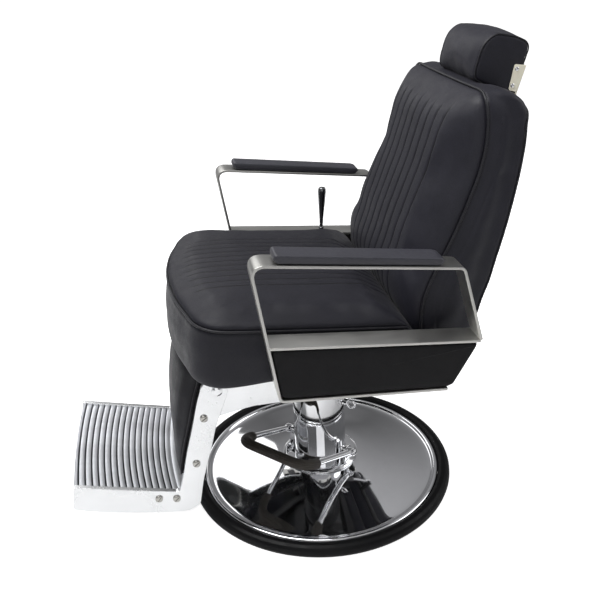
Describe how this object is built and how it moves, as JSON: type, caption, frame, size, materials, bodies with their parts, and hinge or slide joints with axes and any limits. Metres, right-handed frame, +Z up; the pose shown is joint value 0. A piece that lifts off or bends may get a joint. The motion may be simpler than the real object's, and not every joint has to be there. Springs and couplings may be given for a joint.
{
  "type": "hydraulic barber chair",
  "caption": "Upholstered barber chair on a round pump pedestal, with reclining back, adjustable headrest, flat-bar arms and a swinging footrest.",
  "frame": {"origin": "centre of the pedestal base, on the floor", "axes": "+Z up, the sitter faces -Y, +X is the sitter's left"},
  "size_m": [0.688, 1.0334, 1.069],
  "materials": {
    "leather": "black upholstery leather with a fine grain, soft sheen and piped seams",
    "rubber": "matt black rubber, lightly scuffed",
    "grip_rubber": "ribbed brown-black rubber",
    "chrome": "mirror chrome plate",
    "aluminium": "polished cast aluminium with fine wear",
    "brushed_bar": "brushed flat bar with bright edges",
    "frame_steel": "black painted steel, hidden under the seat",
    "arm_pad": "moulded black self-skinned foam",
    "cream_paint": "cream painted steel",
    "plywood": "plywood board",
    "nylon": "black nylon wiper ring"
  },
  "bodies": {
    "base": {"floor_ring": "rubber", "base_dish": "chrome", "pump_flange": "chrome", "pump_cylinder": "frame_steel", "column_sleeve": "chrome", "sleeve_collar": "nylon", "pedal_lug_near": "chrome", "pedal_lug_far": "chrome"},
    "plunger": {"pump_plunger": "frame_steel"},
    "pedal": {"pedal_bar": "chrome", "pedal_grip": "grip_rubber", "pedal_pin_near": "chrome", "pedal_pin_far": "chrome"},
    "swivel_lock": {"swivel_lock_loop": "chrome"},
    "lift": {"pump_ram": "chrome", "lift_sleeve": "chrome"},
    "seat": {"swivel_hub": "frame_steel", "seat_saddle": "frame_steel", "seat_frame": "frame_steel", "seat_board": "plywood", "seat_cushion": "leather", "frame_side_plate_left": "aluminium", "frame_side_plate_right": "aluminium", "recline_pin_left": "chrome", "recline_pin_right": "chrome", "footrest_bolt_left": "chrome", "footrest_bolt_right": "chrome", "arm_frame_left": "brushed_bar", "arm_frame_right": "brushed_bar", "side_panel_left": "leather", "side_panel_right": "leather", "arm_pad_left": "arm_pad", "arm_pad_right": "arm_pad", "lock_cylinder": "frame_steel"},
    "lock_rod": {"lock_rod": "chrome"},
    "recline_lever": {"recline_lever_rod": "chrome", "recline_lever_handle": "chrome"},
    "backrest": {"backrest_cushion": "leather", "back_panel": "leather", "back_frame": "frame_steel", "headrest_socket": "frame_steel"},
    "headrest": {"headrest_post": "chrome", "headrest_cradle": "cream_paint", "headrest_cushion": "leather", "headrest_screw_left_upper": "chrome", "headrest_screw_left_lower": "chrome", "headrest_screw_right_upper": "chrome", "headrest_screw_right_lower": "chrome"},
    "footrest": {"foot_plate": "aluminium", "footrest_strut_left": "aluminium", "footrest_strut_right": "aluminium", "tie_rod_upper": "brushed_bar", "tie_rod_lower": "brushed_bar", "plate_rod_front": "brushed_bar", "plate_rod_rear": "brushed_bar", "calf_pad": "leather", "calf_board": "plywood"},
    "footrest_link": {"footrest_link": "frame_steel"}
  },
  "joints": [
    {"name": "seat_lift", "type": "slide", "parent": "base", "child": "lift", "axis": [0, 0, 1], "range_m": [0, 0.15]},
    {"name": "seat_swivel", "type": "hinge", "parent": "lift", "child": "seat", "pos_m": [0, 0, 0.34], "axis": [0, 0, 1], "continuous": true},
    {"name": "back_recline", "type": "hinge", "parent": "seat", "child": "backrest", "pos_m": [0, 0.215, 0.435], "axis": [-1, 0, 0], "range_deg": [0, 45]},
    {"name": "footrest_swing", "type": "hinge", "parent": "seat", "child": "footrest", "pos_m": [0, -0.257, 0.384], "axis": [-1, 0, 0], "range_deg": [0, 21.6]},
    {"name": "footrest_link_pivot", "type": "hinge", "parent": "footrest", "child": "footrest_link", "pos_m": [0.1, -0.291, 0.319], "axis": [-1, 0, 0], "range_deg": [-19.5, 0]},
    {"name": "lock_stroke", "type": "slide", "parent": "seat", "child": "lock_rod", "axis": [0, -1, 0], "range_m": [0, 0.0502]},
    {"name": "lever_pull", "type": "hinge", "parent": "seat", "child": "recline_lever", "pos_m": [-0.2825, 0.07, 0.385], "axis": [-1, 0, 0], "range_deg": [0, 14]},
    {"name": "headrest_height", "type": "slide", "parent": "backrest", "child": "headrest", "axis": [0, 0.1805, 0.9836], "range_m": [0, 0.1]},
    {"name": "pedal_stroke", "type": "hinge", "parent": "base", "child": "pedal", "pos_m": [0, 0, 0.087], "axis": [0.7325, 0.6807, 0], "range_deg": [0, 22]},
    {"name": "plunger_stroke", "type": "slide", "parent": "base", "child": "plunger", "axis": [0, 0, -1], "range_m": [0, 0.0074]},
    {"name": "swivel_lock_turn", "type": "hinge", "parent": "base", "child": "swivel_lock", "pos_m": [0.0433, 0.0575, 0.215], "axis": [0.6018, 0.7986, 0], "range_deg": [0, 90]}
  ],
  "couplings": [
    {"joint": "footrest_swing", "follows": "back_recline", "ratio": 0.4762},
    {"joint": "footrest_link_pivot", "follows": "back_recline", "ratio": -0.4278},
    {"joint": "lock_stroke", "follows": "back_recline", "m_per_rad": 0.0633},
    {"joint": "plunger_stroke", "follows": "pedal_stroke", "m_per_rad": 0.019}
  ]
}
